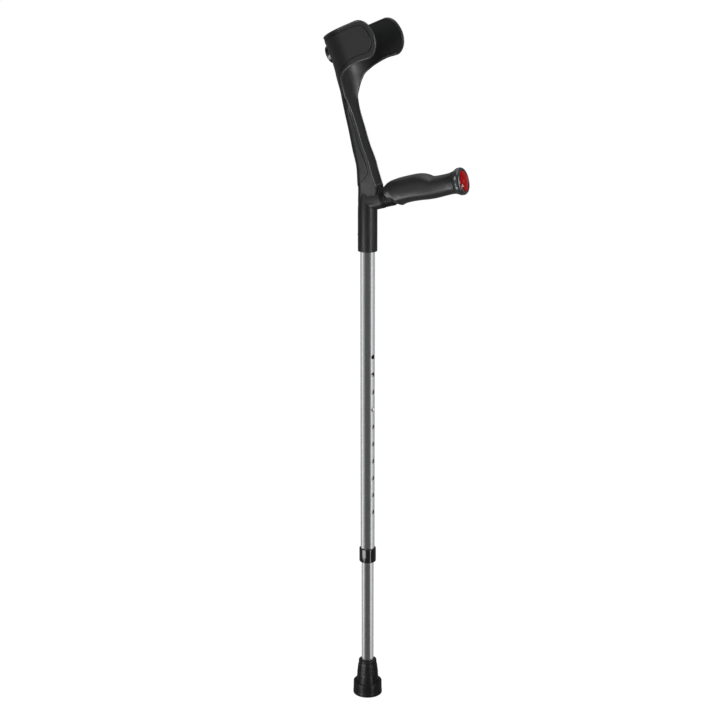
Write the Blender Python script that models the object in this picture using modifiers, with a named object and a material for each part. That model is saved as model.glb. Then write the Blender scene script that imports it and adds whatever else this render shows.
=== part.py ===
"""Forearm crutch with an open cuff, a telescopic leg and a snap button.

Metres, +Z up. The origin is the centre of the rubber ferrule's underside, on the leg's axis.
The hand grip points to +X, and the open side of the cuff faces +X too.
"""

import math

import bpy
import numpy as np
from mathutils import Matrix, Vector

# ---- driving dimensions -------------------------------------------------------------------

GAP = 0.0003  # clearance between neighbouring pieces
POCKET_GAP = 0.0005  # clearance round and under the skins that lie in the moulding's pockets

OUTER_TUBE_R = 0.011
OUTER_TUBE_WALL = 0.0012
OUTER_TUBE_Z = (0.2300, 0.7970)
INNER_TUBE_R = 0.0095
INNER_TUBE_WALL = 0.0015
INNER_TUBE_Z = (0.0117, 0.5310)

COLLAR_R = 0.0130
COLLAR_Z = (0.2262, 0.2484)

HOLE_PITCH = 0.0277
HOLES_ABOVE = 3  # free holes above the one that holds the button
HOLES_BELOW = 6
HOLE_R = 0.00375
BUTTON_Z = 0.4760
HOLE_TURN = math.radians(-15)  # the row of holes, turned from +X about the leg

FERRULE_R = 0.0230
FERRULE_H = 0.0575

SLEEVE_R = 0.0146
SLEEVE_Z = (0.7205, 0.8010)

GRIP_RISE = math.radians(14.5)
GRIP_ORIGIN_Z = 0.7958  # where the grip's axis meets the leg's axis
GRIP_END = 0.1465  # along the grip's axis
CORE_R = 0.0070
STUB_R = 0.0134  # half the stub's width
STUB_END = 0.0260
NECK_OVAL = 1.15  # the stub and the neck are this much taller than wide
FLANGE_R = 0.0200

CUFF_TOP = 0.2362  # girth stations are measured up the back line from the top of the sleeve
FLAP_LOW = 0.1882
FLAP_TOP = 0.2312
FLAP_END = 0.1208  # girth from the back line to the flap's front edge
COVER_T = 0.0016
LINER_T = 0.0022
RIM_ARM = 0.0024
RIM_CUFF = 0.0062
REFLECTOR_STATION = 0.2140
REFLECTOR_R = 0.0135
RIVET_Z = 0.7450
RIVET_R = 0.0016

# Sections up the back line: station, back x, height, half of the flat back, corner radius,
# and girth from the back line to the front edge.
SECTIONS = (
    (-0.006, -0.0128, 0.7950, 0.0045, 0.0075, 0.0310),
    (0.012, -0.0124, 0.8130, 0.0048, 0.0077, 0.0421),
    (0.022, -0.0128, 0.8230, 0.0051, 0.0079, 0.0400),
    (0.043, -0.0138, 0.8430, 0.0054, 0.0082, 0.0343),
    (0.073, -0.0208, 0.8720, 0.0052, 0.0085, 0.0296),
    (0.103, -0.0274, 0.9010, 0.0050, 0.0083, 0.0266),
    (0.120, -0.0316, 0.9175, 0.0048, 0.0090, 0.0252),
    (0.134, -0.0353, 0.9310, 0.0030, 0.0130, 0.0247),
    (0.148, -0.0386, 0.9446, 0.0010, 0.0205, 0.0258),
    (0.159, -0.0402, 0.9555, 0.0000, 0.0310, 0.0315),
    (0.171, -0.0424, 0.9672, 0.0000, 0.0425, 0.0395),
    (0.181, -0.0444, 0.9770, 0.0000, 0.0490, 0.0520),
    (0.192, -0.0475, 0.9880, 0.0000, 0.0490, 0.0900),
    (0.216, -0.0562, 1.0105, 0.0000, 0.0490, 0.1220),
    (0.2362, -0.0652, 1.0290, 0.0000, 0.0490, 0.0970),
)

# ---- scene, materials and small helpers ---------------------------------------------------


def clear_scene():
    for obj in list(bpy.data.objects):
        bpy.data.objects.remove(obj, do_unlink=True)


def new_collection(name):
    collection = bpy.data.collections.new(name)
    bpy.context.scene.collection.children.link(collection)
    return collection


def new_material(name, color, roughness, metallic=0.0):
    material = bpy.data.materials.new(name)
    material.use_nodes = True
    shader = material.node_tree.nodes["Principled BSDF"]
    shader.inputs["Base Color"].default_value = (*color, 1.0)
    shader.inputs["Roughness"].default_value = roughness
    shader.inputs["Metallic"].default_value = metallic
    return material


clear_scene()
PARTS = new_collection("forearm_crutch")
CUTTERS = new_collection("cutters")

SATIN_BLACK = new_material("satin_black_plastic", (0.030, 0.031, 0.033), 0.42)
SOFT_BLACK = new_material("soft_black_elastomer", (0.018, 0.018, 0.019), 0.70)
GLOSS_BLACK = new_material("gloss_black_plastic", (0.010, 0.010, 0.012), 0.16)
ANODISED = new_material("anodised_aluminium", (0.55, 0.56, 0.57), 0.34, 1.0)
RUBBER = new_material("black_rubber", (0.015, 0.015, 0.016), 0.62)
STEEL = new_material("zinc_plated_steel", (0.62, 0.62, 0.60), 0.28, 1.0)
RED_LENS = new_material("red_reflector", (0.62, 0.004, 0.010), 0.12)


def add_object(name, vertices, edges, faces, material=None):
    mesh = bpy.data.meshes.new(name)
    mesh.from_pydata([tuple(map(float, v)) for v in vertices], edges, faces)
    mesh.update()
    obj = bpy.data.objects.new(name, mesh)
    PARTS.objects.link(obj)
    if material:
        mesh.materials.append(material)
    return obj


def as_cutter(obj):
    for collection in list(obj.users_collection):
        collection.objects.unlink(obj)
    CUTTERS.objects.link(obj)
    obj.hide_render = True
    obj.display_type = "WIRE"
    return obj


def boolean(target, other, operation="DIFFERENCE", solver="EXACT"):
    modifier = target.modifiers.new(f"{operation.lower()}_{other.name}", "BOOLEAN")
    modifier.operation = operation
    modifier.solver = solver
    modifier.object = other
    return modifier


def smooth(obj, degrees=32):
    obj.data.shade_smooth()
    obj.data.set_sharp_from_angle(angle=math.radians(degrees))
    return obj


def turned(name, profile, material, matrix=None, steps=32, closed=False):
    """A solid of revolution about local Z. The profile is (radius, height) down its outer side."""
    points = [(radius, 0.0, height) for radius, height in profile]
    count = len(points)
    edges = [(i, i + 1) for i in range(count - 1)]
    if closed:
        edges.append((count - 1, 0))
    obj = add_object(name, points, edges, [], material)
    screw = obj.modifiers.new("turn", "SCREW")
    screw.axis = "Z"
    screw.steps = steps
    screw.render_steps = steps
    screw.use_merge_vertices = True
    screw.merge_threshold = 0.00001
    screw.use_smooth_shade = True
    if matrix:
        obj.matrix_world = matrix
    return obj


def tube(name, outer, inner, low, high, material, matrix=None, steps=32):
    """A plain ring: outer wall, bottom, inner wall, top."""
    ring = [(outer, high), (outer, low), (inner, low), (inner, high)]
    return turned(name, ring, material, matrix, steps, closed=True)


def rod(name, radius, low, high, matrix=None, steps=24):
    """A plain cylinder, used as a cutter or joined into another piece."""
    return turned(name, [(0.0, high), (radius, high), (radius, low), (0.0, low)], None, matrix, steps)


def arc(centre, radius, start, end, count):
    """Points on a circular arc, as (radius, height) pairs. Angles in degrees from +radius."""
    angles = np.radians(np.linspace(start, end, count))
    return [(centre[0] + radius * math.cos(a), centre[1] + radius * math.sin(a)) for a in angles]


# ---- local frames -------------------------------------------------------------------------


def frame_at(place, outward, up):
    """A matrix with local Z along outward and local X as near as can be to up."""
    z = Vector(outward).normalized()
    y = z.cross(Vector(up)).normalized()
    x = y.cross(z)
    turn = Matrix((x, y, z)).transposed().to_4x4()
    return Matrix.Translation(place) @ turn


def radial_frame(height, turn):
    """Local Z points outwards from the leg's axis at this height and turn."""
    return frame_at((0.0, 0.0, height), (math.cos(turn), math.sin(turn), 0.0), (0.0, 0.0, 1.0))


# local Z runs along the grip and local X points up
GRIP_AXIS = (math.cos(GRIP_RISE), 0.0, math.sin(GRIP_RISE))
GRIP_FRAME = frame_at((0.0, 0.0, GRIP_ORIGIN_Z), GRIP_AXIS, (0.0, 0.0, 1.0))
NECK_FRAME = GRIP_FRAME @ Matrix.Diagonal((NECK_OVAL, 1.0, 1.0, 1.0))


# ---- the moulding's skin ------------------------------------------------------------------

TABLE = np.array(SECTIONS)


def smooth_step(value, low, high):
    t = np.clip((value - low) / (high - low), 0.0, 1.0)
    return t * t * (3.0 - 2.0 * t)


def at_station(station, column):
    """A column of SECTIONS at any station, by a cubic with slopes that never overshoot."""
    x, y = TABLE[:, 0], TABLE[:, column]
    step = np.diff(x)
    rise = np.diff(y) / step
    slope = np.zeros_like(y)
    same = rise[:-1] * rise[1:] > 0
    slope[1:-1][same] = 2.0 * rise[:-1][same] * rise[1:][same] / (rise[:-1] + rise[1:])[same]
    slope[0], slope[-1] = rise[0], rise[-1]
    i = np.clip(np.searchsorted(x, station) - 1, 0, len(x) - 2)
    t = np.clip((station - x[i]) / step[i], 0.0, 1.0)
    flat = (1 + 2 * t) * (1 - t) ** 2 * y[i] + t * t * (3 - 2 * t) * y[i + 1]
    return flat + step[i] * (t * (1 - t) ** 2 * slope[i] - t * t * (1 - t) * slope[i + 1])


def section_axes(station):
    """Sine and cosine of the back line's lean at a station."""
    nudge = 0.002
    low = np.clip(station - nudge, TABLE[0, 0], TABLE[-1, 0])
    high = np.clip(station + nudge, TABLE[0, 0], TABLE[-1, 0])
    run = at_station(high, 1) - at_station(low, 1)
    climb = at_station(high, 2) - at_station(low, 2)
    length = np.hypot(run, climb)
    return -run / length, climb / length


def skin(girth, station):
    """World points of the outer skin: flat back, round corners, then straight sides forwards."""
    lean_sin, lean_cos = section_axes(station)
    flat, radius = at_station(station, 3), at_station(station, 4)
    reach = np.abs(girth)
    angle = np.clip((reach - flat) / radius, 0.0, math.pi / 2)
    straight = np.maximum(reach - flat - radius * math.pi / 2, 0.0)
    across = np.minimum(reach, flat) + radius * np.sin(angle)
    forward = radius * (1.0 - np.cos(angle)) + straight
    x = at_station(station, 1) + forward * lean_cos
    z = at_station(station, 2) + forward * lean_sin
    return np.stack([x, np.sign(girth) * across, z], axis=-1)


def unit(vectors):
    return vectors / np.linalg.norm(vectors, axis=-1, keepdims=True)


def skin_normal(girth, station):
    """Unit normals of the skin, pointing out of it."""
    nudge = 0.0008
    along = skin(girth, station + nudge) - skin(girth, station - nudge)
    across = skin(girth + nudge, station) - skin(girth - nudge, station)
    return unit(np.cross(along, across))


def moulding_edge(start, count):
    """Half of the moulding's outline: up the arm, round the flap, and to the top.

    Each row holds its girth, its station, and the station where its grid line meets the back line.
    """
    heel = 0.176
    arm = [(float(at_station(s, 5)), float(s), float(s)) for s in np.linspace(start, heel, count)]
    low_corner, high_corner = 0.019, 0.0225
    flap = [(0.0540, 0.1814), (0.0670, 0.1855), (0.0850, FLAP_LOW)]
    flap += arc((FLAP_END - low_corner, FLAP_LOW + low_corner), low_corner, -90, 0, 6)
    flap += arc((FLAP_END - high_corner, FLAP_TOP - high_corner), high_corner, 0, 90, 7)
    lead = np.linspace(0.0, 1.0, len(flap) + 1)[1:] ** 0.7
    return np.array(arm + [(g, s, heel + (CUFF_TOP - heel) * t) for (g, s), t in zip(flap, lead)])


def inset_edge(edge, margin):
    """The outline moved inwards by a margin, which may differ from row to row."""
    tangent = unit(np.gradient(edge[:, :2], axis=0))
    inward = np.stack([-tangent[:, 1], tangent[:, 0]], axis=1)
    margin = np.broadcast_to(margin, len(edge))
    moved = edge.copy()
    moved[:, :2] += inward * margin[:, None]
    moved[:, 2] -= margin * smooth_step(edge[:, 2], 0.176, CUFF_TOP)
    return moved


def spread(edge, columns, sag=0.0):
    """Fills an outline with a grid of (girth, station), mirrored about the back line."""
    across = np.linspace(-1.0, 1.0, columns)
    centre = edge[:, 2:] - sag * np.clip(1.0 - (edge[:, 2:] - edge[0, 2]) / 0.090, 0.0, 1.0) ** 2
    girth = edge[:, :1] * across
    station = centre + (edge[:, 1:2] - centre) * across**2
    return girth, station


def front_face(edge, columns, rim):
    """The face towards the forearm: flat across the arm, and along the inner wall in the cuff.

    Returns the points and their unit directions, pointing out of the face.
    """
    girth, station = spread(edge, columns)
    normal = skin_normal(girth, station)
    inner = skin(girth, station) - normal * rim[:, None, None]
    across = np.linspace(0.0, 1.0, columns)[None, :, None]
    chord = inner[:, :1] * (1.0 - across) + inner[:, -1:] * across
    wrap = smooth_step(station, 0.122, 0.186)[..., None]
    lean_sin, lean_cos = section_axes(station)
    forward = np.stack([lean_cos, np.zeros_like(lean_cos), lean_sin], axis=-1)
    return chord + (inner - chord) * wrap, unit(forward * (1.0 - wrap) - normal * wrap)


def pull_in(points, gap=POCKET_GAP):
    """Moves a grid's four borders inwards along the surface, to clear the pocket it lies in."""
    points = points.copy()
    for axis in (0, 1):
        rows = np.moveaxis(points, axis, 0)
        for end, inside in ((0, 1), (-1, -2)):
            step = rows[inside] - rows[end]
            rows[end] += step / np.linalg.norm(step, axis=-1, keepdims=True) * gap
    return points


def between(name, outer, inner, material):
    """A closed solid between two grids of the same size, with a strip round their edges."""
    rows, columns = outer.shape[:2]
    count = rows * columns
    vertices = np.concatenate([outer.reshape(-1, 3), inner.reshape(-1, 3)])
    index = np.arange(count).reshape(rows, columns)
    a, b = index[:-1, :-1], index[:-1, 1:]
    c, d = index[1:, 1:], index[1:, :-1]
    front = np.stack([d, c, b, d, b, a], axis=-1).reshape(-1, 3)
    back = front[:, ::-1] + count
    ring = np.concatenate([index[0, :-1], index[:-1, -1], index[-1, :0:-1], index[:0:-1, 0]])
    follow = np.roll(ring, -1)
    side = np.stack([ring, follow, follow + count, ring, follow + count, ring + count], axis=-1)
    faces = np.concatenate([front, back, side.reshape(-1, 3)])
    obj = add_object(name, vertices, [], faces.tolist(), material)
    return smooth(obj)


# ---- leg ----------------------------------------------------------------------------------


def build_ferrule():
    bore = INNER_TUBE_R + GAP
    floor = 0.0095
    shoulder = 0.0205
    profile = [(0.0, floor), (bore, floor), (bore, FERRULE_H - 0.0010)]
    profile += arc((0.0122, FERRULE_H - 0.0018), 0.0018, 120, 0, 4)
    profile += [(0.0141, 0.0545), (0.0137, 0.0535), (0.0146, 0.0470), (0.0155, 0.0455)]
    profile += [(0.0168, 0.0330), (0.0178, shoulder + 0.0012)]
    profile += arc((FERRULE_R - 0.0030, shoulder - 0.0030), 0.0026, 90, 0, 4)
    profile += [(FERRULE_R - 0.0006, 0.0050), (FERRULE_R, 0.0014), (FERRULE_R - 0.0010, 0.0)]
    groove_width, groove_depth = 0.0016, 0.0012
    for outside in (0.0180, 0.0125):
        inside = outside - groove_width
        profile += [(outside, 0.0), (outside, groove_depth), (inside, groove_depth), (inside, 0.0)]
    profile.append((0.0, 0.0))
    return turned("ferrule", profile, RUBBER, steps=32)


def build_ferrule_washer():
    return tube("ferrule_washer", 0.0092, 0.0025, 0.0098, 0.0114, STEEL, steps=24)


def hole_cutter(name, height, radius, turn, start, end):
    return as_cutter(rod(name, radius, start, end, radial_frame(height, turn), steps=16))


def build_inner_tube():
    low, high = INNER_TUBE_Z
    obj = tube("inner_tube", INNER_TUBE_R, INNER_TUBE_R - INNER_TUBE_WALL, low, high, ANODISED)
    boolean(obj, hole_cutter("cut_inner_hole", BUTTON_Z, HOLE_R, HOLE_TURN, 0.004, 0.014))
    return obj


def build_outer_tube():
    low, high = OUTER_TUBE_Z
    obj = tube("outer_tube", OUTER_TUBE_R, OUTER_TUBE_R - OUTER_TUBE_WALL, low, high, ANODISED)
    for step in range(-HOLES_BELOW, HOLES_ABOVE + 1):
        height = BUTTON_Z + step * HOLE_PITCH
        name = f"cut_hole_{step + HOLES_BELOW}"
        boolean(obj, hole_cutter(name, height, HOLE_R, HOLE_TURN, 0.006, 0.016))
    boolean(obj, hole_cutter("cut_tube_rivet", RIVET_Z, RIVET_R + GAP, math.pi, 0.006, 0.016))
    return obj


def build_tube_collar():
    """A sleeve glued on the end of the outer tube, with a lip that turns in under it."""
    low, high = COLLAR_Z
    bore, lip, lip_top = OUTER_TUBE_R + GAP, 0.0104, low + 0.0012
    top_round, bottom_round = 0.0006, 0.0020
    profile = arc((COLLAR_R - top_round, high - top_round), top_round, 90, 0, 3)
    profile += arc((COLLAR_R - bottom_round, low + bottom_round), bottom_round, 0, -90, 5)
    profile += [(lip, low), (lip, lip_top), (bore, lip_top), (bore, high)]
    return turned("tube_collar", profile, GLOSS_BLACK, steps=32, closed=True)


def build_anti_rattle_ring():
    low, high = COLLAR_Z[0] + 0.0015, OUTER_TUBE_Z[0] - GAP
    return tube("anti_rattle_ring", OUTER_TUBE_R, INNER_TUBE_R + GAP, low, high, SOFT_BLACK)


def build_snap_button():
    stem, flange = 0.0032, 0.0044
    tip = 0.0129
    profile = [(0.0, tip)]
    profile += arc((0.0, tip - 0.0042), 0.0042, 72, 42, 4)
    profile += [(stem, tip - 0.0020), (stem, 0.0061), (flange, 0.0061), (flange, 0.0053), (0.0, 0.0053)]
    return turned("snap_button", profile, STEEL, radial_frame(BUTTON_Z, HOLE_TURN), steps=20)


def build_button_spring():
    """A bent strip: one leg against the tube's far wall, a bend above, one leg under the button."""
    width, thick = 0.0070, 0.0006
    route = [(-0.0065, -0.0360), (-0.0065, 0.0250)]
    route += [(x - 0.0015, z + 0.0250) for x, z in arc((0.0, 0.0), 0.0050, 165, 25, 6)]
    route += [(0.0046, 0.0080), (0.0047, -0.0060)]
    route = np.array(route)
    tangent = np.gradient(route, axis=0)
    tangent /= np.linalg.norm(tangent, axis=1, keepdims=True)
    side = np.stack([-tangent[:, 1], tangent[:, 0]], axis=1) * thick / 2
    outer = [[(x, y, z) for y in (-width / 2, width / 2)] for x, z in route + side]
    inner = [[(x, y, z) for y in (-width / 2, width / 2)] for x, z in route - side]
    obj = between("button_spring", np.array(outer), np.array(inner), STEEL)
    obj.matrix_world = Matrix.Translation((0.0, 0.0, BUTTON_Z)) @ Matrix.Rotation(HOLE_TURN, 4, "Z")
    return obj


# ---- frame moulding, its cover and its lining ----------------------------------------------

EDGE = moulding_edge(TABLE[0, 0], 14)
COLUMNS = 19
RIM_ROWS = RIM_ARM + (RIM_CUFF - RIM_ARM) * smooth_step(EDGE[:, 1], 0.130, 0.186)

COVER_EDGE = moulding_edge(0.038, 12)
COVER_MARGIN = np.where(COVER_EDGE[:, 1] < 0.160, 0.0046, 0.0055)
COVER_SAG = 0.022
LINING_EDGE = moulding_edge(0.024, 13)
LINING_SPLIT = 4  # the row where the arm's insert meets the cuff's liner
LINING_MARGIN = 0.0016


def cover_surface():
    girth, station = spread(inset_edge(COVER_EDGE, COVER_MARGIN), COLUMNS - 2, COVER_SAG)
    return skin(girth, station), skin_normal(girth, station)


def lining_surface():
    rim = RIM_ARM + (RIM_CUFF - RIM_ARM) * smooth_step(LINING_EDGE[:, 1], 0.130, 0.186)
    return front_face(inset_edge(LINING_EDGE, LINING_MARGIN), COLUMNS - 2, rim)


def reflector_frame():
    """Local Z points straight out of the back of the cuff, where the reflector sits."""
    here, above = skin(np.zeros(2), np.array([REFLECTOR_STATION, REFLECTOR_STATION + 0.004]))
    climb = Vector(above - here)
    return frame_at(Vector(here), climb.cross(Vector((0.0, 1.0, 0.0))), climb)


REFLECTOR_FRAME = reflector_frame()


def build_outer_cover():
    points, normal = cover_surface()
    obj = between("outer_cover", pull_in(points), pull_in(points - normal * COVER_T), SOFT_BLACK)
    boolean(obj, as_cutter(rod("cut_cover_boss", REFLECTOR_R + GAP, -0.008, 0.008, REFLECTOR_FRAME)))
    return obj


def build_lining():
    points, outward = lining_surface()
    behind = points - outward * LINER_T
    rows = LINING_SPLIT + 1
    between("arm_insert", pull_in(behind[:rows]), pull_in(points[:rows]), SOFT_BLACK)
    between("cuff_liner", pull_in(behind[rows - 1 :]), pull_in(points[rows - 1 :]), SOFT_BLACK)


def build_frame_moulding():
    girth, station = spread(EDGE, COLUMNS)
    inner, _ = front_face(EDGE, COLUMNS, RIM_ROWS)
    obj = between("frame_moulding", skin(girth, station), inner, SATIN_BLACK)

    sleeve = [(0.0, SLEEVE_Z[1]), (SLEEVE_R - 0.0012, SLEEVE_Z[1]), (SLEEVE_R, SLEEVE_Z[1] - 0.0012)]
    sleeve += [(SLEEVE_R, SLEEVE_Z[0] + 0.0010), (SLEEVE_R - 0.0010, SLEEVE_Z[0]), (0.0, SLEEVE_Z[0])]
    cutters = [(turned("join_sleeve", sleeve, None), "UNION")]

    stub = [(0.0, STUB_END), (STUB_R - 0.0004, STUB_END), (STUB_R, STUB_END - 0.0004)]
    stub += [(STUB_R, 0.0), (0.0, -0.0020)]
    cutters.append((turned("join_stub", stub, None, NECK_FRAME), "UNION"))
    core = [(0.0, GRIP_END), (CORE_R - 0.0006, GRIP_END), (CORE_R, GRIP_END - 0.0006)]
    core += [(CORE_R, 0.0), (0.0, 0.0)]
    cutters.append((turned("join_core", core, None, GRIP_FRAME, 24), "UNION"))

    above = 0.0030  # how far the cutters stand above the surfaces they cut
    points, normal = cover_surface()
    floor = points - normal * (COVER_T + POCKET_GAP)
    cutters.append((between("cut_cover_pocket", points + normal * above, floor, None), "DIFFERENCE"))
    points, outward = lining_surface()
    floor = points - outward * (LINER_T + POCKET_GAP)
    cutters.append((between("cut_lining_pocket", floor, points + outward * above, None), "DIFFERENCE"))

    bore_top = OUTER_TUBE_Z[1] + GAP
    bore = rod("cut_tube_bore", OUTER_TUBE_R + GAP, SLEEVE_Z[0] - 0.010, bore_top, steps=32)
    cutters.append((bore, "DIFFERENCE"))
    rivet = hole_cutter("cut_sleeve_rivet", RIVET_Z, RIVET_R + GAP, math.pi, 0.008, 0.020)
    cutters.append((rivet, "DIFFERENCE"))
    screw = rod("cut_screw_hole", 0.0018, GRIP_END - 0.022, GRIP_END + 0.010, GRIP_FRAME, 16)
    cutters.append((screw, "DIFFERENCE"))
    for cutter, operation in cutters:
        boolean(obj, as_cutter(cutter), operation, "MANIFOLD")
    return obj


def build_sleeve_rivet():
    """A blind rivet through the sleeve and the tube, with its head behind and its tail inside."""
    head, tail = 0.0032, 0.0026
    head_seat, tail_seat = SLEEVE_R + GAP, OUTER_TUBE_R - OUTER_TUBE_WALL - 0.0007
    profile = [(0.0, head_seat + 0.0013), (head * 0.6, head_seat + 0.0011), (head, head_seat + 0.0003)]
    profile += [(head, head_seat), (RIVET_R, head_seat), (RIVET_R, tail_seat), (tail, tail_seat)]
    profile += [(tail, tail_seat - 0.0012), (tail * 0.5, tail_seat - 0.0020), (0.0, tail_seat - 0.0020)]
    return turned("sleeve_rivet", profile, STEEL, radial_frame(RIVET_Z, math.pi), steps=20)


# ---- rear reflector -------------------------------------------------------------------------


def build_rear_reflector():
    """A round housing that sits on the back of the cuff, with a lens set into it."""
    base, top = -0.0060, 0.0060
    lens_r, seat = 0.0108, 0.0030
    housing = [(0.0, seat), (lens_r + GAP, seat), (lens_r + GAP, top)]
    housing += arc((REFLECTOR_R - 0.0018, top - 0.0018), 0.0018, 90, 0, 4)
    housing += [(REFLECTOR_R, base), (0.0, base)]
    obj = turned("reflector_housing", housing, SATIN_BLACK, REFLECTOR_FRAME)
    points, normal = cover_surface()
    saddle = between("cut_boss_saddle", points - normal * COVER_T, points - normal * 0.012, None)
    boolean(obj, as_cutter(saddle))
    lens = [(0.0, top + 0.0006), (lens_r * 0.6, top + 0.0003), (lens_r, top - 0.0006)]
    lens += [(lens_r, seat + GAP), (0.0, seat + GAP)]
    turned("rear_reflector_lens", lens, RED_LENS, REFLECTOR_FRAME)


# ---- hand grip ------------------------------------------------------------------------------

# Along the grip's axis: station, radius above, radius below, half width.
GRIP_SECTIONS = (
    (0.0400, 0.0143, 0.0163, 0.0154),
    (0.0455, 0.0190, 0.0161, 0.0168),
    (0.0530, 0.0221, 0.0152, 0.0178),
    (0.0630, 0.0238, 0.0146, 0.0182),
    (0.0760, 0.0242, 0.0144, 0.0180),
    (0.0890, 0.0240, 0.0152, 0.0176),
    (0.0990, 0.0224, 0.0161, 0.0170),
    (0.1070, 0.0192, 0.0165, 0.0164),
    (0.1130, 0.0158, 0.0165, 0.0160),
    (0.1250, 0.0150, 0.0160, 0.0156),
    (0.1360, 0.0152, 0.0156, 0.0155),
    (0.1420, 0.0160, 0.0160, 0.0162),
    (0.1462, 0.0172, 0.0172, 0.0172),
)
GRIP_SLANT = 0.0100  # half of the root's slant, over the grip's own radius


def build_grip_root_ring():
    """A ribbed rubber ring between the stub and the grip."""
    start, end = STUB_END + GAP, 0.0520
    body, rib, bore = 0.0120, 0.0128, CORE_R + GAP
    profile = [(bore, end), (body, end), (body, 0.0445), (rib, 0.0440), (rib, 0.0415), (body, 0.0410)]
    profile += [(body, 0.0365), (rib, 0.0360), (rib, 0.0335), (body, 0.0330), (body, 0.0290)]
    profile += [(rib, 0.0285), (rib, start), (bore, start)]
    return turned("grip_root_ring", profile, SOFT_BLACK, NECK_FRAME, steps=24, closed=True)


def build_hand_grip():
    """Rings of points along the axis. The first rings slant, so that the root is cut at an angle."""
    sides = 24
    turn = np.linspace(0.0, 2.0 * math.pi, sides, endpoint=False)
    up, across = np.cos(turn), np.sin(turn)
    rings = []
    for station, above, below, half in GRIP_SECTIONS:
        height = np.where(up > 0.0, above, below)
        slant = GRIP_SLANT * (1.0 - smooth_step(station, 0.040, 0.075))
        along = station - slant * up
        rings.append(np.stack([up * height, across * half, along], axis=-1))
    rings = np.array(rings)
    count = len(rings)
    faces = [list(range(sides))[::-1], list(range((count - 1) * sides, count * sides))]
    for row in range(count - 1):
        for i in range(sides):
            j = (i + 1) % sides
            low, high = row * sides, (row + 1) * sides
            faces.append([low + i, low + j, high + j, high + i])
    obj = add_object("hand_grip", rings.reshape(-1, 3), [], faces, SOFT_BLACK)
    smooth(obj, 50)
    obj.matrix_world = GRIP_FRAME
    boolean(obj, as_cutter(rod("cut_grip_bore", CORE_R + GAP, 0.0, 0.170, GRIP_FRAME)))
    boolean(obj, as_cutter(rod("cut_grip_root", 0.0131, 0.0, 0.0523, NECK_FRAME, 24)))
    return obj


def build_grip_end():
    """The flanged cap, its screw and washer, and the lens that hides them."""
    low, high = GRIP_END + GAP, 0.1585
    lens_r, seat, floor = 0.0152, 0.1552, 0.1502
    well = 0.0060
    screw_r = 0.0015
    middle = (low + high) / 2
    half = (high - low) / 2
    cap = [(lens_r + GAP, high), (FLANGE_R - half * 0.75, high)]
    cap += arc((FLANGE_R - half * 0.75, middle), half, 70, 0, 4)[:-1]
    cap += [(FLANGE_R - half * 0.05, middle), (FLANGE_R - half * 0.35, low + half * 0.25), (0.0174, low)]
    cap += [(screw_r + GAP, low), (screw_r + GAP, floor), (well, floor), (well, seat), (lens_r + GAP, seat)]
    turned("grip_end_cap", cap, GLOSS_BLACK, GRIP_FRAME, closed=True)
    tube("grip_washer", 0.0050, screw_r + GAP, floor + GAP, floor + 0.0011, STEEL, GRIP_FRAME, 20)
    head = 0.0042
    under = floor + 0.0014
    screw = [(0.0, under + 0.0024), (head * 0.7, under + 0.0022), (head, under + 0.0010), (head, under)]
    screw += [(screw_r, under), (screw_r, GRIP_END - 0.0180), (0.0, GRIP_END - 0.0195)]
    turned("grip_screw", screw, STEEL, GRIP_FRAME, steps=20)
    rise = high + 0.0030
    lens = [(0.0, rise), (lens_r * 0.35, rise - 0.0004), (lens_r * 0.7, rise - 0.0014)]
    lens += [(lens_r * 0.93, high - 0.0002), (lens_r, high - 0.0010), (lens_r, seat + GAP), (0.0, seat + GAP)]
    turned("grip_reflector_lens", lens, RED_LENS, GRIP_FRAME)


# ---- assembly -------------------------------------------------------------------------------

build_ferrule()
build_ferrule_washer()
build_inner_tube()
build_anti_rattle_ring()
build_tube_collar()
build_outer_tube()
build_snap_button()
build_button_spring()
build_frame_moulding()
build_lining()
build_outer_cover()
build_sleeve_rivet()
build_rear_reflector()
build_grip_root_ring()
build_hand_grip()
build_grip_end()
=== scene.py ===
"""Looks of a forearm crutch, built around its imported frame. Everything is in metres, +Z up."""

import math

import bmesh
import bpy
import numpy as np
from mathutils import Matrix, Vector


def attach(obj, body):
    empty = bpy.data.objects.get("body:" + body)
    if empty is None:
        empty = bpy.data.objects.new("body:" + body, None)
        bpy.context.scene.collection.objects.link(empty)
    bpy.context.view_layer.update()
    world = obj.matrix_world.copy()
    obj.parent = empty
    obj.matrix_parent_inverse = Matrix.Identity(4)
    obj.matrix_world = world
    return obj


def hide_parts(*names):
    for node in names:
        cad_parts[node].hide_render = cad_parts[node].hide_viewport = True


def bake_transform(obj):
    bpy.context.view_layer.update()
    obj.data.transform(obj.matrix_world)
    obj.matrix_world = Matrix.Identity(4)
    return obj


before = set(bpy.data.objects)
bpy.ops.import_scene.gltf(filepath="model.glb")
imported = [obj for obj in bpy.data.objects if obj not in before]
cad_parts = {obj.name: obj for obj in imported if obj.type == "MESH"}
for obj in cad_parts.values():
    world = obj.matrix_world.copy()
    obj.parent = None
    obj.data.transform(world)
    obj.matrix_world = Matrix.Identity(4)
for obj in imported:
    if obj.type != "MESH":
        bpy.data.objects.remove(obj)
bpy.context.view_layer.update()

# ---- Studio ------------------------------------------------------------------------------------
# A pale floor and a white surround, with soft panels all round. Broad panels light the metal, and
# narrow ones lay the highlights on the black pieces. The camera looks down a little, from the side.

VIEW_TURN = math.radians(26.0)
VIEW_PITCH = math.radians(15.0)
VIEW_DISTANCE, VIEW_HEIGHT = 2.243, 1.1535
towards_camera = Vector((math.sin(VIEW_TURN), -math.cos(VIEW_TURN), 0.0))
to_the_right = Vector((math.cos(VIEW_TURN), math.sin(VIEW_TURN), 0.0))


def placed(name, data):
    """An object of some data, in the scene."""
    thing = bpy.data.objects.new(name, data)
    bpy.context.scene.collection.objects.link(thing)
    return thing


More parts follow.
